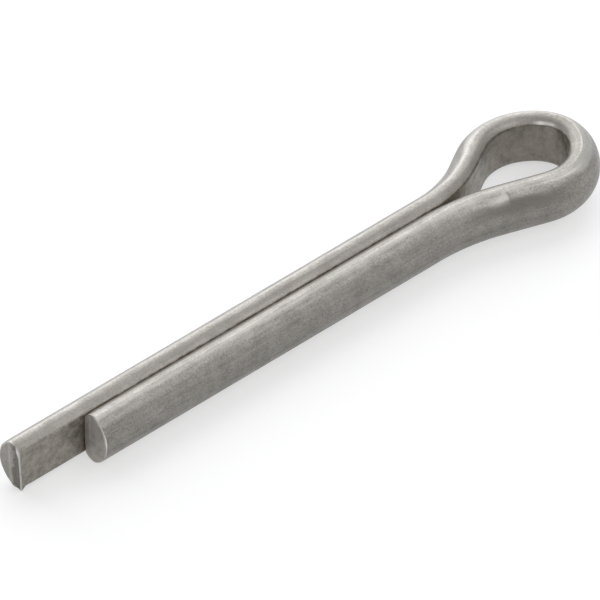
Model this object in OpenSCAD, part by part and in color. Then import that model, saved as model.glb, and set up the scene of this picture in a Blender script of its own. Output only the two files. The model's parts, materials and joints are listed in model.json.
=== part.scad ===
// Cotter pin (split pin) for a 1/4 inch pin hole, extended-prong type with square-cut ends.
// One length of half-round steel wire is folded flat side to flat side. The fold is left open
// as an eye, and the two legs lie together as a round shank, one leg longer than the other.
// The pin lies flat: the shank runs along X with its tips towards -X, and Z is up.
// Sizes are in millimetres and angles in degrees.

/* [Shank] */
// Diameter of the round shank that the two half-round legs make
shank_d = 5.65; // [4.8:0.05:6.6]
// Length from where the eye seats in the hole to the end of the short leg
nominal_length = 44.45; // [20:0.05:90]
// How far the long leg reaches past the short one
prong_extra = 7.25; // [1:0.05:12]
// Gap between the flat faces of the legs
leg_gap = 0.15; // [0.1:0.05:0.6]
// Radius of the rolled edges of the half-round wire
wire_edge_r = 0.78; // [0.3:0.02:0.9]
// Diameter of the hole that the eye seats on
pin_hole_d = 6.75; // [6.65:0.05:8.4]

/* [Shoulders] */
// Radius of the long leg's flat face where it bends outwards to the eye
long_shoulder_r = 14; // [8:0.5:20]
// Angle at which the long leg leaves the shank
long_shoulder_angle = 30; // [25:1:36]
// Straight stretch between the long leg's shoulder and the eye
long_shoulder_straight = 2.2; // [1:0.1:3]
// Radius of the short leg's flat face where it bends outwards to the eye
short_shoulder_r = 22; // [12:0.5:26]
// Angle at which the short leg leaves the shank
short_shoulder_angle = 19; // [18:1:24]

/* [Eye] */
// Inner radius of the eye's cheek on the long leg's side
long_cheek_r = 4.6; // [4.2:0.1:6]
// Turn of that cheek
long_cheek_turn = 84; // [72:1:96]
// Inner radius of the nose, the tightest part of the eye
nose_r = 2.3; // [1.5:0.1:3]
// Turn of the nose
nose_turn = 55; // [45:1:65]
// Inner radius of the eye's cheek on the short leg's side
short_cheek_r = 3.9; // [3.2:0.1:4.4]
// How much the wire thins all round where it is bent, and twice that at the nose
bend_thinning = 0.01; // [0.005:0.005:0.03]

/* [Finish] */
// Colour of the tumbled steel
steel_colour = "#96938c"; // [#96938c, #a7a49d, #7f7c77]

/* [Hidden] */
$fn = 96;

// Wire section: an arc about the shank's own axis, and two rolled edges tangent to it.
shank_r = shank_d / 2;
flat_offset = leg_gap / 2;
wire_depth = shank_r - flat_offset;
edge_reach = wire_edge_r + flat_offset;
edge_height = sqrt(pow(shank_r - wire_edge_r, 2) - pow(edge_reach, 2));
wire_half_width = edge_height + wire_edge_r;
edge_angle = atan2(edge_height, edge_reach);

// A bent stretch is thinner than its neighbours and reaches this far into them.
bend_lap = 0.05;

// Headings of the flat face along the fold: 0 runs up the long leg towards the eye,
// and -180 runs back down the short leg.
long_flare_heading = long_shoulder_angle;
nose_start_heading = long_flare_heading - long_cheek_turn;
nose_end_heading = nose_start_heading - nose_turn;
short_flare_heading = -180 - short_shoulder_angle;
short_cheek_turn = nose_end_heading - short_flare_heading;

// Step along an arc of the flat face, from one heading to the next. A positive radius turns
// to the right, round the eye, and a negative one turns to the left, round a shoulder.
function arc_step(r, from, to) = r * [sin(from) - sin(to), cos(to) - cos(from)];
function straight_step(run, heading) = run * [cos(heading), sin(heading)];

// Corners of the route, counted from where the long leg starts to bend.
route_start = [0, flat_offset];
long_flare_start = route_start + arc_step(-long_shoulder_r, 0, long_flare_heading);
long_cheek_start = long_flare_start + straight_step(long_shoulder_straight, long_flare_heading);
nose_start = long_cheek_start + arc_step(long_cheek_r, long_flare_heading, nose_start_heading);
nose_end = nose_start + arc_step(nose_r, nose_start_heading, nose_end_heading);
short_cheek_end = nose_end + arc_step(short_cheek_r, nose_end_heading, short_flare_heading);
short_shoulder_step = arc_step(-short_shoulder_r, short_flare_heading, -180);

// The short leg's flare is as long as it takes to come back to the shank.
short_flare_rise = -flat_offset - short_shoulder_step.y - short_cheek_end.y;
short_flare_run = short_flare_rise / sin(short_flare_heading);
short_flare_end = short_cheek_end + straight_step(short_flare_run, short_flare_heading);
short_leg_start = short_flare_end + short_shoulder_step;

// The eye seats where the two shoulders have spread to the hole's diameter. Near its start a
// shoulder spreads by x * x / (2 * r), with r the radius of its outer face.
long_spread = 1 / (2 * (long_shoulder_r - wire_depth));
short_spread = 1 / (2 * (short_shoulder_r - wire_depth));
spread_a = long_spread + short_spread;
spread_b = -2 * short_spread * short_leg_start.x;
spread_c = short_spread * pow(short_leg_start.x, 2) - (pin_hole_d - shank_d);
seat_x = (-spread_b + sqrt(spread_b * spread_b - 4 * spread_a * spread_c)) / (2 * spread_a);

short_leg_end_x = seat_x - nominal_length;
long_leg_end_x = short_leg_end_x - prong_extra;
short_leg_run = short_leg_start.x - short_leg_end_x;
long_leg_run = -long_leg_end_x;

// Outermost points of the eye, for the middle of the pin's own box.
long_cheek_centre = long_cheek_start + long_cheek_r * [sin(long_flare_heading), -cos(long_flare_heading)];
nose_centre = nose_start + nose_r * [sin(nose_start_heading), -cos(nose_start_heading)];
short_cheek_centre = nose_end + short_cheek_r * [sin(nose_end_heading), -cos(nose_end_heading)];
eye_top_y = long_cheek_centre.y + long_cheek_r + wire_depth - bend_thinning;
eye_nose_x = nose_centre.x + nose_r + wire_depth - 2 * bend_thinning;
eye_bottom_y = short_cheek_centre.y - short_cheek_r - wire_depth + bend_thinning;
middle_x = (eye_nose_x + long_leg_end_x) / 2;
middle_y = (eye_top_y + eye_bottom_y) / 2;

assert(short_flare_run > 0, "the eye is too narrow to come back to the shank");
assert(short_cheek_turn > 0, "the cheek and nose turns leave nothing for the last cheek");

// Half-round section of the wire: its flat on the Y axis, its belly towards +X. A bend takes
// it thinner by `thinning` all round.
module wire_section(thinning = 0) {
    // belly, as a sector that ends where the rolled edges take over
    intersection() {
        translate([-flat_offset, 0])
            circle(r = shank_r - thinning);
        polygon([
            [-flat_offset, 0],
            [-flat_offset + shank_d * cos(edge_angle), shank_d * sin(edge_angle)],
            [2 * shank_d, shank_d],
            [2 * shank_d, -shank_d],
            [-flat_offset + shank_d * cos(edge_angle), -shank_d * sin(edge_angle)]
        ]);
        translate([thinning, -shank_d])
            square([shank_d, 2 * shank_d]);
    }
    // flat, with a rolled edge at each end
    translate([thinning, -edge_height])
        square([wire_edge_r, 2 * edge_height]);
    for (side = [-1, 1])
        translate([wire_edge_r, side * edge_height])
            circle(r = wire_edge_r - thinning);
}

// Straight wire along +X, belly to the left. What follows is placed at its end.
module wire_straight(run) {
    rotate([90, 0, 90])
        linear_extrude(run)
            wire_section();
    translate([run, 0, 0])
        children();
}

// Wire that turns to the right round the eye, with its flat on the inside.
module wire_round_eye(r, turn, thinning = bend_thinning) {
    lap = bend_lap / r * 180 / PI;
    translate([0, -r, 0]) {
        rotate_extrude(angle = turn + 2 * lap, start = 90 - turn - lap)
            translate([r, 0])
                wire_section(thinning);
        rotate(-turn)
            translate([0, r, 0])
                children();
    }
}

// Wire that turns to the left round a shoulder, with its belly on the inside.
module wire_round_shoulder(r, turn) {
    lap = bend_lap / r * 180 / PI;
    translate([0, r, 0]) {
        rotate_extrude(angle = turn + 2 * lap, start = -90 - lap)
            translate([r, 0])
                mirror([1, 0])
                    wire_section(bend_thinning);
        rotate(turn)
            translate([0, -r, 0])
                children();
    }
}

// The whole pin, followed from the tip of the long leg round to the tip of the short one.
module pin_body() {
    color(steel_colour)
        translate([long_leg_end_x - middle_x, flat_offset - middle_y, wire_half_width])
            wire_straight(long_leg_run)
                wire_round_shoulder(long_shoulder_r, long_shoulder_angle)
                    wire_straight(long_shoulder_straight)
                        wire_round_eye(long_cheek_r, long_cheek_turn)
                            wire_round_eye(nose_r, nose_turn, 2 * bend_thinning)
                                wire_round_eye(short_cheek_r, short_cheek_turn)
                                    wire_straight(short_flare_run)
                                        wire_round_shoulder(short_shoulder_r, short_shoulder_angle)
                                            wire_straight(short_leg_run);
}

pin_body();
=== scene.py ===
import itertools
import json
import math

import bpy
import numpy as np
from mathutils import Matrix, Vector


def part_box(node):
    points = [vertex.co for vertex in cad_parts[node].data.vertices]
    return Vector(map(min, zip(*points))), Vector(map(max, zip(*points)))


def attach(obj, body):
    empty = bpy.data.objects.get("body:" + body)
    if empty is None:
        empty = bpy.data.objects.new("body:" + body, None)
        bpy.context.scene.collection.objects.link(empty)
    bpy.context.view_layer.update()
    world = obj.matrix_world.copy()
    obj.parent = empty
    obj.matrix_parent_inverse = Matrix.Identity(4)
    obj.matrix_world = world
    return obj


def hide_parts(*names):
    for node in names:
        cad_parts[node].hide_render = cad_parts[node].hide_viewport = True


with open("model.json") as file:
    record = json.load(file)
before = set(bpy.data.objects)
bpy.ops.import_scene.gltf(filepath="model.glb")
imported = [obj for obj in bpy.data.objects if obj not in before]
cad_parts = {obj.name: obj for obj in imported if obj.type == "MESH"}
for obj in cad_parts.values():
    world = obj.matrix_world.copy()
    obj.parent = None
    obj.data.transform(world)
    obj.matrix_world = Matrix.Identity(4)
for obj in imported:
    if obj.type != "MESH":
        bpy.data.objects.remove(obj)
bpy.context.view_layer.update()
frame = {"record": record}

bl_info = {
    "name": "Cotter pin",
    "version": (1, 0, 0),
    "blender": (4, 5, 0),
    "location": "3D View > Sidebar > Cotter pin",
    "description": "A split pin of half-round tumbled steel wire, and a plain stage to show it on",
    "category": "Add Mesh",
}

MM = 0.001  # metres
PIN_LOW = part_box("pin_body")[0]
SHANK = frame["record"]["mounts"][0]


def linear(value):
    """Linear RGB of an sRGB hex colour."""
    parts = [int(value[i:i + 2], 16) / 255 for i in (1, 3, 5)]
    return [c / 12.92 if c <= 0.04045 else ((c + 0.055) / 1.055) ** 2.4 for c in parts]


def link(name, data):
    """A new object for the data, linked to the scene."""
    thing = bpy.data.objects.new(name, data)
    bpy.context.scene.collection.objects.link(thing)
    return thing


def length(name, mm, about):
    """A length property whose default is in millimetres."""
    return bpy.props.FloatProperty(
        name=name, description=about, default=mm * MM, min=0.0, unit="LENGTH", precision=5)


def angle(name, degrees, about):
    """An angle property whose default is in degrees."""
    return bpy.props.FloatProperty(
        name=name, description=about, default=math.radians(degrees), subtype="ANGLE")


def colour(name, value, about):
    """A colour property whose default is an sRGB hex value."""
    return bpy.props.FloatVectorProperty(
        name=name, description=about, default=linear(value), min=0.0, max=1.0,
        size=3, subtype="COLOR")


class PinSizes(bpy.types.PropertyGroup):
    """Sizes of the wire and of its fold"""
    shank_radius: length("Shank radius", SHANK["dims"]["r_mm"],
                         "Radius of the round shank that the two legs make")
    leg_gap: length("Leg gap", 0.15, "Gap between the flat faces of the legs")
    wire_height: length("Wire height", 5.11, "Height of the half-round wire across its flat")
    top_depth: length("Top depth", 1.06, "How far behind the flat the wire is highest")
    edge_radius: length("Edge", 1.25, "Radius of the rolled edge between there and the flat")
    corner_radius: length("Corner", 0.35, "Radius of the corner where that edge meets the flat")
    long_leg: length("Long leg", SHANK["dims"]["length_mm"],
                     "Straight length of the long leg, up to its shoulder")
    short_leg: length("Short leg", 39.8051, "Straight length of the short leg")
    long_shoulder: length("Long shoulder", 14.0, "Radius of the flat at the long leg's shoulder")
    long_flare: length("Long flare", 2.2, "Straight wire between that shoulder and the eye")
    short_shoulder: length("Short shoulder", 22.0, "Radius of the flat at the short leg's shoulder")
    long_cheek: length("Long cheek", 4.6, "Inner radius of the eye on the long leg's side")
    nose: length("Nose", 2.3, "Inner radius of the eye's tightest part")
    short_cheek: length("Short cheek", 3.9, "Inner radius of the eye on the short leg's side")
    long_spread: angle("Long spread", 30, "Angle at which the long leg leaves the shank")
    short_spread: angle("Short spread", 19, "Angle at which the short leg leaves the shank")
    long_cheek_turn: angle("Long cheek turn", 84, "Turn of the cheek on the long leg's side")
    nose_turn: angle("Nose turn", 55, "Turn of the nose")
    cut_lean: length("Cut lean", 0.40, "How much shorter the sheared tips are below than above")
    station: length("Station spacing", 0.25, "Distance between sections along the wire")


class PinFinish(bpy.types.PropertyGroup):
    """Colours of the steel and of what is on it"""
    steel: colour("Steel", "#97948F", "Tumbled surface of the wire")
    # also the colour of the painted shade on the slope to the crease
    steel_pits: colour("Steel in pits", "#75726D", "The same surface in its fine pits")
    # also the colour of the painted highlights on the shoulders and the pressed facet
    burnished: colour("Burnished", "#D2D0CC", "Edges that the shear or a die has rubbed bright")
    fresh_cut: colour("Fresh cut", "#B6B2AD", "Sheared face of a tip")
    fractured: colour("Fractured", "#6A6761", "Torn part of a sheared tip")
    film: colour("Film", "#B5AEA2", "Dried drawing soap on the flats, where no stone rubs")
    grime: colour("Grime", "#6E604B", "Old drawing soap and dust in the crease")


class StageLook(bpy.types.PropertyGroup):
    """Colours of the stage, and the camera"""
    floor: colour("Floor", "#C6C6C6", "Colour of the floor")
    floor_fibre: colour("Floor fibres", "#CACACA", "Colour of the palest fibres in its paper")
    softbox: colour("Softbox", "#FBFCFF", "Colour of the lamps' light, as of studio flash")
    lens: bpy.props.FloatProperty(
        name="Lens", description="Focal length of the camera in millimetres", default=846.3)
    distance: length("Distance", 1213.3, "Distance from the camera to the point it looks at")
    azimuth: angle("Azimuth", -44.055, "Camera's direction round the pin, 0 looking along +Y")
    elevation: angle("Elevation", 39.775, "Camera's height above the horizon")
    roll: angle("Roll", 1.195, "Turn of the camera about its own axis")


# ---------------------------------------------------------------- the wire's shape

ROUTE_STEP = 0.02  # mm between the points at which the route is summed
FORMER_WIDTH = 1.4  # mm of wire over which a bend's curvature builds up


def wire_stretches(p):
    """Length in mm and left turn of each stretch of the flat face, from the long tip to the
    short one. The flare of the short leg is as long as brings the leg back beside the other."""
    half_gap = p.leg_gap / 2 / MM
    nose_end = p.long_spread - p.long_cheek_turn - p.nose_turn
    short_heading = -math.pi - p.short_spread
    stretches = {
        "long_leg": [p.long_leg / MM, 0.0],
        "long_shoulder": [p.long_shoulder / MM * p.long_spread, p.long_spread],
        "long_flare": [p.long_flare / MM, 0.0],
        "long_cheek": [p.long_cheek / MM * p.long_cheek_turn, -p.long_cheek_turn],
        "nose": [p.nose / MM * p.nose_turn, -p.nose_turn],
        "short_cheek": [p.short_cheek / MM * (nose_end - short_heading), short_heading - nose_end],
        "short_flare": [0.0, 0.0],
        "short_shoulder": [p.short_shoulder / MM * p.short_spread, p.short_spread],
        "short_leg": [p.short_leg / MM, 0.0],
    }
    heading, height = 0.0, half_gap
    for run, turn in stretches.values():
        end = heading + turn
        if turn == 0:
            height += run * math.sin(heading)
        else:
            height += run / turn * (math.cos(heading) - math.cos(end))
        heading = end
    stretches["short_flare"][0] = (-half_gap - height) / math.sin(short_heading)
    return stretches


def wire_ends(p):
    """Distance in mm along the wire at which each stretch ends, by its name."""
    stretches = wire_stretches(p)
    return dict(zip(stretches, np.cumsum([run for run, _ in stretches.values()])))


def wire_route(p, s):
    """Place and heading of the flat face at the distances s along it: the curvature, eased over
    the width of a bending former, is summed to the heading, and the heading to the place. What
    drift the easing leaves in the short leg is shared out over the bends."""
    runs, turns = np.array(list(wire_stretches(p).values())).T
    ends = np.cumsum(runs)
    fine = np.arange(0, ends[-1] + ROUTE_STEP, ROUTE_STEP)
    stretch = np.minimum(np.searchsorted(ends, fine, side="right"), len(ends) - 1)
    ease = np.hanning(int(FORMER_WIDTH / ROUTE_STEP))
    bend = np.convolve((turns / runs)[stretch], ease / ease.sum(), mode="same")
    bend *= -math.pi / (bend.sum() * ROUTE_STEP)
    heading = np.cumsum(bend) * ROUTE_STEP - bend * ROUTE_STEP / 2
    x, y = (np.cumsum(f(heading)) * ROUTE_STEP - f(heading) * ROUTE_STEP / 2
            for f in (np.cos, np.sin))
    first_bend, last_bend = ends[0], ends[-2]
    drift = y[-1] + p.leg_gap / MM
    y -= drift * np.clip((fine - first_bend) / (last_bend - first_bend), 0, 1)
    place = np.stack([np.interp(s, fine, x), np.interp(s, fine, y)], axis=-1)
    return place, np.interp(s, fine, heading)


def wire_section(p):
    """Outline of the half-round wire in mm, upwards from the middle of the flat: the flat, a
    tight corner, a wide rolled edge up to the highest point, a shoulder, the belly, and the same
    again below. Each arc touches the next, so their centres lie as far apart as their radii
    differ, and the belly is an arc about the shank's own axis. It gives the depth behind the flat,
    the height, and the outward direction."""
    half, top = p.wire_height / 2 / MM, p.top_depth / MM
    edge, corner = p.edge_radius / MM, p.corner_radius / MM
    radius, axis = p.shank_radius / MM, -p.leg_gap / 2 / MM
    shoulder = (radius ** 2 - (top - axis) ** 2 - half ** 2) / (2 * (radius - half))
    corner_turn = math.pi - math.acos((top - corner) / (edge - corner))
    belly_turn = math.atan2(half - shoulder, top - axis)
    corner_height = half - edge + (edge - corner) * math.sin(corner_turn)
    # the upper half of the flat, in 10 points
    flat = np.linspace(0, corner_height, 10, endpoint=False)
    rows = [[0 * flat, flat, 0 * flat + math.pi]]
    # radius, the centre's depth and height, first and last direction, and number of points
    arcs = ((corner, corner, corner_height, math.pi, corner_turn, 12),
            (edge, top, half - edge, corner_turn, math.pi / 2, 14),
            (shoulder, top, half - shoulder, math.pi / 2, belly_turn, 8),
            (radius, axis, 0.0, belly_turn, 0.0, 31))
    for r, depth, height, start, end, count in arcs:
        turn = np.linspace(start, end, count, endpoint=False)
        rows.append([depth + r * np.cos(turn), height + r * np.sin(turn), turn])
    upper = np.concatenate(rows, axis=1)
    middle = np.array([[axis + radius], [0.0], [0.0]])
    lower = upper[:, :0:-1] * np.array([[1], [-1], [-1]])
    depth, height, facing = np.concatenate([upper, middle, lower], axis=1)
    return depth, height, np.cos(facing), np.sin(facing)


# ---------------------------------------------------------------- the wire's marks
#
# A place on the wire is its distance along it, its depth behind the flat and its height, in mm.

LATTICE = 32  # cells along each side of the noise's lattice, which then repeats

# relief in mm
DRAW_LINE, LAP_MARK, KNOCK = 0.006, 0.004, 0.020
DIE_LINE, FAINT_DIE_LINE, DIE_SHELF = 0.032, 0.012, 0.17
FLAT_SWELL = 0.055
TEAR, TEAR_ROUGHNESS, BLADE_SCRATCH = 0.07, 0.035, 0.013
CUT_RIDGE, CUT_ROUGHNESS, CUT_SCRATCH, CUT_WAVE = 0.04, 0.016, 0.010, 0.012

# slope of the belly on the two sides of the eye former's edge
PRESSED_UP, PRESSED_DOWN = 0.10, 0.04


def grain(place, cell, seed):
    """Smooth noise from -1 to 1: random numbers on a lattice with the given cell, blended
    between lattice points with the weight 3t^2 - 2t^3 along each axis."""
    table = np.random.default_rng(seed).uniform(-1, 1, (LATTICE,) * 3)
    scaled = place / np.array(cell)
    base = np.floor(scaled).astype(int)
    t = scaled - base
    weight = t * t * (3 - 2 * t)
    total = 0.0
    for corner in itertools.product((0, 1), repeat=3):
        share = np.prod(np.where(np.array(corner) == 1, weight, 1 - weight), axis=-1)
        i, j, k = np.moveaxis((base + corner) % LATTICE, -1, 0)
        total = total + share * table[i, j, k]
    return total


def smooth(x, low, high):
    """0 below low, 1 above high, and 3t^2 - 2t^3 between."""
    t = np.clip((x - low) / (high - low), 0, 1)
    return t * t * (3 - 2 * t)


def fading(x, low, high):
    """1 below low, 0 above high, and smooth between."""
    return 1 - smooth(x, low, high)


def window(x, low, full, fade, end):
    """0 outside low and end, 1 from full to fade, and smooth on the way up and down."""
    return smooth(x, low, full) * fading(x, fade, end)


def ridge(x, centre, width):
    """A bell of height 1 about the centre."""
    return np.exp(-((x - centre) / width) ** 2)


def former_edge(ends):
    """Distance along the wire of the line that the edge of the eye former has left, just before
    the short leg's flare ends."""
    return ends["short_flare"] - 0.5


def drawn_surface(place):
    """Relief of the draw lines along the wire, the lap marks of tumbling, and shallow knocks."""
    lines = DRAW_LINE * grain(place, (14.0, 0.28, 0.28), seed=3)
    laps = LAP_MARK * grain(place, (0.9, 0.9, 0.9), seed=5)
    knocks = KNOCK * smooth(grain(place, (1.7, 1.3, 1.3), seed=7), 0.45, 0.95)
    return lines + laps - knocks


def former_step(place, ends):
    """Relief of the step that the eye former has pressed into the belly of the short leg's flare.
    It tips the belly up on the shank side of its edge, and down on the eye side."""
    s, depth, height = np.moveaxis(place, -1, 0)
    along = s - former_edge(ends)
    tip_up = window(along, -0.05, 0.30, 1.3, 3.2) * fading(height, 2.1, 2.5)
    tip_down = window(along, -2.6, -0.8, -0.30, 0.05)
    up = PRESSED_UP * tip_up * np.clip(height - 1.25, 0, None)
    down = PRESSED_DOWN * tip_down * np.clip(2.0 - np.abs(height - 0.6), 0, 1.2)
    return -(up + down) * smooth(depth, 0.9, 1.5)


def die_marks(place, ends):
    """Relief of the two fine lines that run over the top of the short leg's flare, where the
    dies met, and of the shallow shelf that the dies have left between them and the side."""
    s, depth, height = np.moveaxis(place, -1, 0)
    over = smooth(height, 0.5, 1.0) * window(s - former_edge(ends), -7.5, -4.5, 2.5, 7.5)
    lines = DIE_LINE * ridge(depth, 1.48, 0.11) + FAINT_DIE_LINE * ridge(depth, 1.86, 0.09)
    shelf = DIE_SHELF * window(height, 0.8, 1.95, 2.0, 2.5) * smooth(depth, 0.9, 1.5)
    return over * (shelf - lines)


def flat_swell(place, ends):
    """Relief of the straight legs' flats, which swell until they all but touch."""
    s, depth, _ = np.moveaxis(place, -1, 0)
    first_bend, last_bend = ends["long_leg"], ends["short_shoulder"]
    on_leg = fading(s, first_bend, first_bend + 2.5) + smooth(s, last_bend - 2.5, last_bend)
    return FLAT_SWELL * on_leg * fading(depth, 0.02, 0.35)


def wire_relief(place, ends):
    """Outward relief of the wire's surface in mm."""
    return (drawn_surface(place) + former_step(place, ends) + die_marks(place, ends)
            + flat_swell(place, ends))


def painted_facet_highlight(place, ends):
    """1 on the facet that the former has pressed on the shank side of its edge, 0 elsewhere. The
    steel paints a highlight there.
    """
    s, depth, height = np.moveaxis(place, -1, 0)
    along = s - former_edge(ends)
    ragged = along + 0.10 * grain(place, (0.5, 0.4, 0.4), seed=53)
    fade = 0.35 * fading(along, 3.5, 7.0) + 0.65 * fading(along, 0.4, 2.6)
    across = height + 0.22 * grain(place, (0.9, 0.45, 0.45), seed=23)
    return (smooth(ragged, -0.02, 0.30) * fade * smooth(depth, 1.0, 1.6)
            * window(across, 1.25, 1.75, 2.05, 2.40))


def rubbed_band(place, ends):
    """1 on the dull band that the former has rubbed below the dies' shelf, 0 elsewhere."""
    s, depth, height = np.moveaxis(place, -1, 0)
    across = height + 0.25 * grain(place, (1.6, 0.5, 0.5), seed=43)
    return (window(s - former_edge(ends), -6.0, -3.0, 1.0, 6.0) * smooth(depth, 1.5, 1.9)
            * window(across, 0.35, 1.15, 1.55, 1.95))


def painted_glint(place, ends):
    """About 1 on a short stretch of the eye's upper inner edge where the nose begins, 0 elsewhere.
    It is a painted glint."""
    s, depth, height = np.moveaxis(place, -1, 0)
    along = s - ends["long_cheek"]
    patchy = 0.75 + 0.5 * grain(place, (0.35, 9.0, 9.0), seed=29)
    return (patchy * window(along, -1.29, -0.49, 0.31, 1.11)
            * window(depth, 0.0, 0.04, 0.14, 0.28) * (height > 0))


def painted_shoulder_light(place, cut, ends):
    """Painted highlight and painted shade: a light band on the wire's shoulders, wider where the
    eye stands proud, and a dark band on the slope to the crease, both left off the cuts."""
    s, depth, _ = np.moveaxis(place, -1, 0)
    across = depth + 0.07 * grain(place, (1.4, 0.5, 0.5), seed=59)
    eye_start, eye_end = ends["long_shoulder"], ends["short_cheek"]
    widening = 0.65 * window(
        s, eye_start, ends["long_flare"] + 1.0, eye_end - 2.5, eye_end - 0.5)
    # the first band is a painted highlight, the second a painted shade
    wear_and_painted_highlight = smooth(across, 1.00, 1.28) * fading(across - widening, 1.25, 1.62)
    painted_shade = window(across, 0.05, 0.35, 0.80, 1.05)
    return wear_and_painted_highlight * (1 - cut), painted_shade * (1 - cut)


def grime_share(p, place, x):
    """How grimy the wire is, with x in mm. Old soap and dust stay in the crease, where the flats
    touch from the shoulders to the short tip, and in the corner between that tip and the long
    leg."""
    s, depth, height = np.moveaxis(place, -1, 0)
    tip_x, shank_end = x[-1].mean(), (PIN_LOW.x + p.long_leg) / MM
    spread = 0.07 * grain(place, (0.5, 0.35, 0.35), seed=47)
    crease = 0.6 * fading(depth + spread, 0.0, 0.06)
    crease = crease * window(x, tip_x - 0.2, tip_x + 0.3, shank_end + 2, shank_end + 6)
    uneven = 0.245 * grain(place, (0.35, 0.35, 0.35), seed=31)
    corner = 0.5 * fading(np.abs(x - tip_x + 0.12) + uneven, 0.08, 0.34)
    corner = corner * fading(height, 1.6, 2.1)
    beside_tip = (x > tip_x - 2) & (s < (p.long_leg - p.short_leg) / MM + 5) & (depth < 0.4)
    return np.maximum(crease, corner * beside_tip)


def cut_relief(depth, height, long_tip):
    """Outward relief of a sheared tip in mm, and how far it is burnished and torn. Next to the
    flat the long tip is torn, behind a bright lip along the edge. The short tip has a low bright
    ridge and small torn patches."""
    place = np.stack([depth, height, 0 * depth], axis=-1)
    rough = (grain(place, (0.16, 0.16, 1.0), seed=11)
             + 0.5 * grain(place, (0.07, 0.07, 1.0), seed=12))
    scratch = grain(place, (0.10, 2.0, 1.0), seed=13)
    ragged = 0.22 * grain(place, (9.0, 0.5, 1.0), seed=17)
    if long_tip:
        lip_width = 0.14 + 0.28 * smooth(height, 1.1, 1.9)
        lip = fading(depth, lip_width, lip_width + 0.08)
        edge = depth + 1.5 * ragged + 0.125 * rough + 0.12 * height
        torn = smooth(depth, lip_width, lip_width + 0.10) * fading(edge, 0.84, 1.10)
        torn = torn * smooth(2.5 - np.abs(height), 0.0, 0.3)
        out = torn * (TEAR_ROUGHNESS * rough - TEAR) + (1 - torn) * BLADE_SCRATCH * scratch
    else:
        middle = ridge(depth, 0.62, 0.07) * smooth(height, -0.6, 0.2)
        lip = np.maximum(0.7 * middle, 0.9 * smooth(-height - 0.5 * ragged, 2.15, 2.35))
        torn = 0.15 * fading(height + ragged, -2.2, -1.9) + 0.04 * fading(depth, 0.50, 0.60)
        torn = torn + 0.25 * smooth(grain(place, (0.26, 0.42, 1.0), seed=41), 0.0, 0.6)
        wave = grain(place, (0.8, 0.8, 1.0), seed=19)
        out = (CUT_RIDGE * middle + CUT_ROUGHNESS * rough * torn + CUT_SCRATCH * scratch
               + CUT_WAVE * wave)
    return out, lip, torn


# ---------------------------------------------------------------- the pin's mesh

# sizes of the sheared tips in mm
CUT_EDGE = 0.09  # least radius of a cut's rounded edge
CUT_MIDDLE = 1.2  # depth behind the flat at which a cut's rings start
LEAN_REACH = 3.5  # wire behind a tip over which its lean fades
SHORT_TIP_REACH = 0.14  # how far the short tip's cut stands past its plain end
BURR_CLEARANCE = 0.02  # height of the burr's tip above the wire's lowest line

# rings on a tip's cut face, and round its edge
FACE_RINGS, EDGE_RINGS = 22, 8


def tip_edge(depth, height, long_tip):
    """Radius in mm of the edge round a tip's cut, wide on the side where the blade came in and
    tight on the other, and how bright the blade has rubbed it."""
    if long_tip:
        return CUT_EDGE + 0.15 * smooth(depth, 0.2, 2.4), 0.75
    outer = smooth(depth, 0.3, 1.2) * smooth(height, -0.6, 1.2)
    blade_side = 0.2 + 1.8 * np.maximum(outer, 0.6 * smooth(height, 1.6, 2.3))
    rub = 0.3 + 1.3 * smooth(depth, 0.6, 1.4) * smooth(height, -1.0, 0.2)
    return CUT_EDGE * (1 + blade_side), rub


def tip_rings(p, long_tip):
    """Rings from the middle of a tip out over its cut face, and round its edge by a quarter
    turn. It gives their distance behind the tip, depth and height in mm, and how far they are
    burnished, torn and cut."""
    depth, height, face_depth, face_up = wire_section(p)
    radius, rub = tip_edge(depth, height, long_tip)
    share = np.linspace(0.07, 1.0, FACE_RINGS)[:, None]
    turn = np.radians(np.linspace(0, 90, EDGE_RINGS + 1))[1:, None]
    face_d = CUT_MIDDLE + share * (depth - radius * face_depth - CUT_MIDDLE)
    face_h = share * (height - radius * face_up)
    out, lip, torn = cut_relief(face_d, face_h, long_tip)
    inset = radius * (1 - np.sin(turn))
    s = np.concatenate([-out, radius * (1 - np.cos(turn)) - out[-1] * np.cos(turn)])
    d = np.concatenate([face_d, depth - inset * face_depth])
    h = np.concatenate([face_h, height - inset * face_up])
    rim = np.stack([depth, height, 0 * depth], axis=-1)
    wear_and_painted_highlight = 0.8 + 0.5 * grain(rim, (0.5, 0.5, 1.0), seed=37)
    burnish_and_painted_glint = np.concatenate([lip, rub * wear_and_painted_highlight * np.sin(2 * turn) ** 0.5])
    # the long tip's cut is the duller of the two
    dull, fresh = (0.16, 0.2) if long_tip else (0.0, 1.0)
    torn = np.maximum(torn, dull)
    fade = np.cos(turn) ** 0.5
    tear = np.concatenate([torn, torn[-1] * fade])
    cut = fresh * np.concatenate([1 + 0 * out, fade + 0 * depth])
    return [s, d, h, burnish_and_painted_glint, tear, cut]


def stations(p, ends):
    """Distances along the wire at which it has a ring: evenly spaced, and closer together where
    the former's edge lies and beside the short tip."""
    step, total = p.station / MM, ends["short_leg"]
    edge, tip = former_edge(ends), (p.long_leg - p.short_leg) / MM
    s = np.concatenate([
        [0.45], np.arange(0.6, total - 0.6, step), [total - 0.45],
        np.arange(edge - 0.5, edge + 0.5, step / 4),
        np.arange(tip - 2.0, tip + 1.2, step / 2)])
    return np.unique(np.round(s, 4))


def shear_tips(p, s, d, h, total):
    """Distance and height after shearing: the blade leans, so a tip is shorter below than above,
    and it drags the long tip's lower corner down behind it as a burr."""
    half = p.wire_height / 2 / MM
    lean = p.cut_lean / MM * (0.3 * half - h) / (2 * half)
    leant = (s + lean * fading(s, 0.0, LEAN_REACH)
             + (SHORT_TIP_REACH - lean) * fading(total - s, 0.0, LEAN_REACH))
    burr = 0.8 * smooth(-h, 1.6, 2.1) * fading(d, 0.25, 0.75) * fading(s, 0.1, 0.6)
    return leant, h + burr * (BURR_CLEARANCE - half - h)


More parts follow.
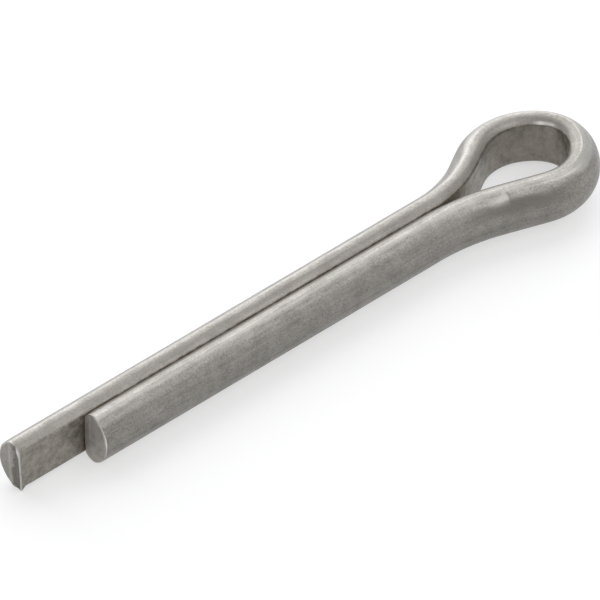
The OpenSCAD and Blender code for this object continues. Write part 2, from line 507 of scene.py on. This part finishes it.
def pin_grid(p, ends):
    """Rings of points that close the whole pin: from the middle of the long tip, out over its cut
    and round its edge, along the wire, and in again at the short tip. It gives each point's
    distance, depth and height after relief and shearing, its place on the plain wire, and how far
    it is burnished (with a painted glint on the eye), torn and cut."""
    depth, height, face_depth, face_up = wire_section(p)
    total = ends["short_leg"]
    long_tip = tip_rings(p, True)
    short_tip = [rings[::-1] for rings in tip_rings(p, False)]
    short_tip[0] = total - short_tip[0]
    s = stations(p, ends)[:, None]
    zero = 0 * s * depth
    body = [s + zero, depth + zero, height + zero, zero, zero, zero]
    s, d, h, burnish_and_painted_glint, tear, cut = (
        np.concatenate(parts) for parts in zip(long_tip, body, short_tip))
    place = np.stack([s, d, h], axis=-1)
    # relief grows in over the first millimetre behind each cut
    relief = wire_relief(place, ends) * smooth(np.minimum(s, total - s), 0.3, 1.2)
    d, h = d + relief * face_depth, h + relief * face_up
    s, h = shear_tips(p, s, d, h, total)
    # the burnish holds the tips' burnished edges and the painted glint on the eye
    marks = {"burnish_and_painted_glint": np.maximum(burnish_and_painted_glint, painted_glint(place, ends)),
             "torn": np.maximum(tear, 0.8 * rubbed_band(place, ends)),
             "cut": cut}
    return s, d, h, place, marks


def pin_points(p, s, d, h):
    """Points in metres: the flat face's place at s, plus depth along the wire's own normal and
    height upwards, set on the frame's shank axis with the long tip at the low end of its box."""
    route, heading = wire_route(p, np.clip(s, 0, None))
    x = route[..., 0] - d * np.sin(heading) + np.minimum(s, 0)
    y = route[..., 1] + d * np.cos(heading)
    axis_y = SHANK["pos_m"][1] / MM + p.leg_gap / 2 / MM
    middle_z = PIN_LOW.z / MM + p.wire_height / 2 / MM
    return np.stack([x + PIN_LOW.x / MM, y + axis_y, h + middle_z], axis=-1) * MM


def grid_faces(rings, count):
    """Quads between neighbouring rings, and fans to the two poles after the last ring."""
    i, j = np.meshgrid(np.arange(rings - 1), np.arange(count), indexing="ij")
    k = (j + 1) % count
    quads = np.stack([i * count + j, (i + 1) * count + j, (i + 1) * count + k, i * count + k], -1)
    j = np.arange(count)
    k = (j + 1) % count
    first, last = rings * count, rings * count + 1
    end = (rings - 1) * count
    fans = np.concatenate([np.stack([0 * j + first, j, k], -1),
                           np.stack([end + j, 0 * j + last, end + k], -1)])
    return quads.reshape(-1, 4).tolist() + fans.tolist()


def with_poles(field):
    """The rings' values in one list, and after them the means of the first ring and the last,
    for the two poles."""
    poles = np.stack([field[0].mean(0), field[-1].mean(0)])
    return np.concatenate([field.reshape(-1, *field.shape[2:]), poles])


def pin_object(p):
    """The pin as one closed mesh. Its attributes give each point's place on the wire in mm; how far
    it is burnished (with a painted glint on the eye), torn, cut, grimy and filmed; and where it has
    a painted highlight on the pressed facet and the shoulders, and painted shade on the slope to
    the crease."""
    ends = wire_ends(p)
    s, d, h, place, marks = pin_grid(p, ends)
    points = pin_points(p, s, d, h)
    # the pressed facet, which the steel lightens with a painted highlight
    marks["pressed"] = painted_facet_highlight(place, ends)
    # painted highlight on the shoulders and painted shade on the slope to the crease
    marks["wear_and_painted_highlight"], marks["painted_shade"] = painted_shoulder_light(place, marks["cut"], ends)
    marks["grime"] = grime_share(p, place, points[..., 0] / MM)
    marks["film"] = fading(place[..., 1], 0.02, 0.15) * fading(marks["cut"], 0.0, 0.3)
    mesh = bpy.data.meshes.new("pin_wire")
    mesh.from_pydata(with_poles(points).tolist(), [], grid_faces(*s.shape))
    mesh.shade_smooth()
    for name, field in marks.items():
        layer = mesh.attributes.new(name, "FLOAT", "POINT")
        layer.data.foreach_set("value", with_poles(field).astype(np.float32))
    layer = mesh.attributes.new("wire_place", "FLOAT_VECTOR", "POINT")
    layer.data.foreach_set("vector", with_poles(place).astype(np.float32).ravel())
    return link("pin_wire", mesh)


# ---------------------------------------------------------------- materials

WHITE = (1.0, 1.0, 1.0, 1.0)
BUMP_HEIGHT = 0.02 * MM
FLOOR_GLOW = 0.56  # strength of the white light added to the floor on background rays


def add(tree, kind, settings):
    """Adds a node. Each setting is a property of the node, an input's value, or the output that
    the input is linked to."""
    node = tree.nodes.new(kind)
    for key, value in settings.items():
        if isinstance(value, bpy.types.NodeSocket):
            tree.links.new(value, node.inputs[key])
        elif isinstance(key, str) and hasattr(node, key):
            setattr(node, key, value)
        else:
            node.inputs[key].default_value = value
    return node


def noise(tree, place, scale, detail, roughness=0.5):
    """Noise over place, with scale waves to the unit."""
    return add(tree, "ShaderNodeTexNoise", {
        "Vector": place, "Scale": scale, "Detail": detail, "Roughness": roughness}).outputs[0]


def mapped(tree, value, before, after):
    """Value carried from the range before to the range after, and held inside it."""
    return add(tree, "ShaderNodeMapRange", {
        "Value": value, "From Min": before[0], "From Max": before[1],
        "To Min": after[0], "To Max": after[1]}).outputs[0]


def times(tree, first, second):
    """Product of an output and another one, or a number."""
    return add(tree, "ShaderNodeMath", {"operation": "MULTIPLY", 0: first, 1: second}).outputs[0]


def mixed(tree, share, low, high):
    """Colour from low to high by the share. Each is a colour or a node's output."""
    low, high = (c if isinstance(c, bpy.types.NodeSocket) else (*c, 1.0) for c in (low, high))
    return add(tree, "ShaderNodeMix", {"data_type": "RGBA", 0: share, 6: low, 7: high}).outputs[2]


def new_material(name):
    """An empty node material with its output."""
    material = bpy.data.materials.new(name)
    material.use_nodes = True
    material.node_tree.nodes.clear()
    return material, material.node_tree, add(material.node_tree, "ShaderNodeOutputMaterial", {})


def steel_material(look):
    """Tumbled steel wire: cold drawn, folded in a former, then barrel tumbled with others. The
    drawing leaves faint lines along the wire, and the tumbling a fine even peening that makes it
    satin, with tiny dark pits. Burnished edges are lighter and smoother, torn metal is darker, and
    the flats keep a dull film of drawing soap. Painted highlights lighten the shoulders, the
    pressed facet and a glint on the eye, and painted shade darkens the slope to the crease."""
    material, tree, out = new_material("tumbled_steel_wire")
    place = add(tree, "ShaderNodeAttribute", {"attribute_name": "wire_place"}).outputs["Vector"]
    mark = {name: add(tree, "ShaderNodeAttribute", {"attribute_name": name}).outputs["Fac"]
            for name in ("burnish_and_painted_glint", "torn", "cut", "pressed", "wear_and_painted_highlight", "painted_shade", "grime", "film")}
    # draw lines: 0.3 mm apart across the wire, and about 6 mm long
    drawn = add(tree, "ShaderNodeMapping", {"Scale": (0.18, 3.3, 3.3), "Vector": place})
    lines = noise(tree, drawn.outputs[0], 1.0, 3.0, 0.6)
    # peening of the tumbling stones, 0.15 mm; real peening also has finer marks that don't show
    peen = noise(tree, place, 6.5, 2.0, 0.7)
    # cloudy wear of 1 to 2 mm
    cloud = noise(tree, place, 0.7, 3.0, 0.6)
    shade = 0.0
    for part, weight in ((lines, 0.28), (peen, 0.46), (cloud, 0.26)):
        shade = add(tree, "ShaderNodeMath", {
            "operation": "MULTIPLY_ADD", 0: part, 1: weight, 2: shade}).outputs[0]
    polish = mapped(tree, shade, (0.38, 0.62), (0.0, 1.0))
    tone = mixed(tree, polish, look.steel_pits, look.steel)
    # dark pits of about 0.2 mm, a few to the square millimetre, left by rolled-in scale
    pits = mapped(tree, noise(tree, place, 4.0, 1.0), (0.64, 0.72), (0.0, 0.55))
    tone = mixed(tree, pits, tone, look.fractured)
    # the film is blotchy, in spots of 0.9 mm and less
    blotch = mapped(tree, noise(tree, place, 1.1, 5.0, 0.75), (0.40, 0.65), (0.0, 1.0))
    filmed = mixed(tree, blotch, look.steel_pits, look.film)
    tone = mixed(tree, times(tree, mark["film"], 0.85), tone, filmed)
    # each mark's share of its own colour: the band on the slope to the crease is painted shade, the
    # shoulder band and the pressed facet are painted highlight, and the burnish is the burnished
    # edges with a painted glint
    for name, share, value in (("painted_shade", 0.45, look.steel_pits), ("wear_and_painted_highlight", 0.30, look.burnished),
                               ("cut", 0.8, look.fresh_cut), ("pressed", 0.30, look.burnished),
                               ("burnish_and_painted_glint", 0.9, look.burnished), ("torn", 0.9, look.fractured)):
        tone = mixed(tree, times(tree, mark[name], share), tone, value)
    dirt = times(tree, mark["grime"], mapped(tree, peen, (0.3, 0.7), (0.55, 1.45)))
    tone = mixed(tree, dirt, tone, look.grime)
    rough = mapped(tree, polish, (0.0, 1.0), (0.45, 0.34))
    for share, value in ((mark["burnish_and_painted_glint"], 0.26), (dirt, 0.75), (mark["cut"], 0.62)):
        rough = add(tree, "ShaderNodeMix", {
            "data_type": "FLOAT", 0: share, 2: rough, 3: value}).outputs[0]
    # where the film is thick, it hides the metal
    metal = mapped(tree, times(tree, mark["film"], blotch), (0.0, 1.0), (1.0, 0.35))
    peened = add(tree, "ShaderNodeBump", {
        "Strength": 0.65, "Distance": BUMP_HEIGHT, "Height": peen})
    lined = add(tree, "ShaderNodeBump", {
        "Strength": 0.5, "Distance": BUMP_HEIGHT, "Height": lines, "Normal": peened.outputs[0]})
    steel = add(tree, "ShaderNodeBsdfPrincipled", {
        "Base Color": tone, "Roughness": rough, "Metallic": metal, "Normal": lined.outputs[0]})
    tree.links.new(steel.outputs[0], out.inputs[0])
    return material


def background_share(tree):
    """1 on camera, glossy and transmission rays, which see the plain white background."""
    path = add(tree, "ShaderNodeLightPath", {}).outputs
    share = path["Is Camera Ray"]
    for other in ("Is Glossy Ray", "Is Transmission Ray"):
        share = add(tree, "ShaderNodeMath", {
            "operation": "MAXIMUM", 0: share, 1: path[other]}).outputs[0]
    return share


def floor_material(look):
    """Matt white laminate: even and pale, and it keeps the pin's shadow. On background rays a
    little white light is added, so that the open floor is white."""
    material, tree, out = new_material("matt_white_laminate")
    place = add(tree, "ShaderNodeTexCoord", {}).outputs["Object"]
    # paper grain of 0.5 mm
    fibre = noise(tree, place, 1 / (0.5 * MM), 2.0)
    tone = mixed(tree, fibre, look.floor, look.floor_fibre)
    diffuse = add(tree, "ShaderNodeBsdfDiffuse", {"Color": tone})
    strength = times(tree, background_share(tree), FLOOR_GLOW)
    glow = add(tree, "ShaderNodeEmission", {"Color": WHITE, "Strength": strength})
    both = add(tree, "ShaderNodeAddShader", {0: diffuse.outputs[0], 1: glow.outputs[0]})
    tree.links.new(both.outputs[0], out.inputs[0])
    return material


# ---------------------------------------------------------------- the stage

FLOOR_HALF = 1.5  # metres
ROOM_LIGHT = 0.30  # strength of the white surroundings as light on matt surfaces
AIM = Vector((3.990, 4.628, -2.533)) * MM  # the point that the camera looks at

# name, place in metres, size in metres and power in watts of each softbox
SOFTBOXES = (("back_softbox", (0.38, 0.65, 0.55), 1.3, 10.2),
             ("front_softbox", (0.30, -0.41, 0.72), 0.7, 1.4))


def add_floor(look):
    """A square of laminate under the pin."""
    mesh = bpy.data.meshes.new("floor")
    corners = [(x * FLOOR_HALF, y * FLOOR_HALF, 0.0)
               for x, y in ((-1, -1), (1, -1), (1, 1), (-1, 1))]
    mesh.from_pydata(corners, [], [(0, 1, 2, 3)])
    mesh.materials.append(floor_material(look))
    link("floor", mesh)


def add_world():
    """White surroundings: full white on background rays, and dimmer as light on matt surfaces."""
    world = bpy.data.worlds.new("white_room")
    world.use_nodes = True
    tree = world.node_tree
    tree.nodes.clear()
    strength = mapped(tree, background_share(tree), (0.0, 1.0), (ROOM_LIGHT, 1.0))
    light = add(tree, "ShaderNodeBackground", {"Color": WHITE, "Strength": strength})
    add(tree, "ShaderNodeOutputWorld", {"Surface": light.outputs[0]})
    bpy.context.scene.world = world


def add_softbox(name, place, size, power, tint):
    """A square area lamp at a place, facing the pin."""
    data = bpy.data.lights.new(name, "AREA")
    data.shape, data.size, data.energy, data.color = "SQUARE", size, power, tint
    turn = (-Vector(place)).to_track_quat("-Z", "Y").to_matrix().to_4x4()
    link(name, data).matrix_world = Matrix.Translation(place) @ turn


def add_camera(look):
    """The camera, which looks at the aim from the given side and height."""
    azimuth, elevation = look.azimuth, look.elevation
    back = Vector((math.sin(azimuth) * math.cos(elevation),
                   -math.cos(azimuth) * math.cos(elevation), math.sin(elevation)))
    data = bpy.data.cameras.new("camera")
    data.lens, data.clip_start, data.clip_end = look.lens, 0.1, 10.0
    turn = (-back).to_track_quat("-Z", "Y").to_matrix().to_4x4()
    camera = link("camera", data)
    camera.matrix_world = (Matrix.Translation(AIM + back * look.distance) @ turn
                           @ Matrix.Rotation(look.roll, 4, "Z"))
    bpy.context.scene.camera = camera


# ---------------------------------------------------------------- operators

class PIN_OT_wire(bpy.types.Operator):
    """Build the folded half-round wire with its sheared tips, and give it its steel"""
    bl_idname = "pin.wire"
    bl_label = "Folded wire"

    def execute(self, context):
        piece = pin_object(context.scene.pin_sizes)
        piece.data.materials.append(steel_material(context.scene.pin_finish))
        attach(piece, "root")
        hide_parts("pin_body")
        return {"FINISHED"}


class PIN_OT_stage(bpy.types.Operator):
    """Add the floor, the white surroundings, the soft lamps and the camera"""
    bl_idname = "pin.stage"
    bl_label = "Stage"

    def execute(self, context):
        look = context.scene.pin_stage
        add_floor(look)
        add_world()
        for name, place, size, power in SOFTBOXES:
            add_softbox(name, place, size, power, look.softbox)
        add_camera(look)
        context.scene.view_settings.view_transform = "Standard"
        return {"FINISHED"}


class PIN_PT_panel(bpy.types.Panel):
    """Steps that build the pin and its stage, with their sizes and colours"""
    bl_idname = "PIN_PT_panel"
    bl_label = "Cotter pin"
    bl_space_type = "VIEW_3D"
    bl_region_type = "UI"
    bl_category = "Cotter pin"

    def draw(self, context):
        for group in ("pin_sizes", "pin_finish", "pin_stage"):
            settings = getattr(context.scene, group)
            for name in settings.__annotations__:
                self.layout.prop(settings, name)
        self.layout.operator(PIN_OT_wire.bl_idname)
        self.layout.operator(PIN_OT_stage.bl_idname)


CLASSES = (PinSizes, PinFinish, StageLook, PIN_OT_wire, PIN_OT_stage, PIN_PT_panel)


def register():
    for c in CLASSES:
        bpy.utils.register_class(c)
    bpy.types.Scene.pin_sizes = bpy.props.PointerProperty(type=PinSizes)
    bpy.types.Scene.pin_finish = bpy.props.PointerProperty(type=PinFinish)
    bpy.types.Scene.pin_stage = bpy.props.PointerProperty(type=StageLook)


def unregister():
    del bpy.types.Scene.pin_sizes, bpy.types.Scene.pin_finish, bpy.types.Scene.pin_stage
    for c in reversed(CLASSES):
        bpy.utils.unregister_class(c)


def main():
    register()
    bpy.ops.pin.wire()
    bpy.ops.pin.stage()


if __name__ == "__main__":
    main()
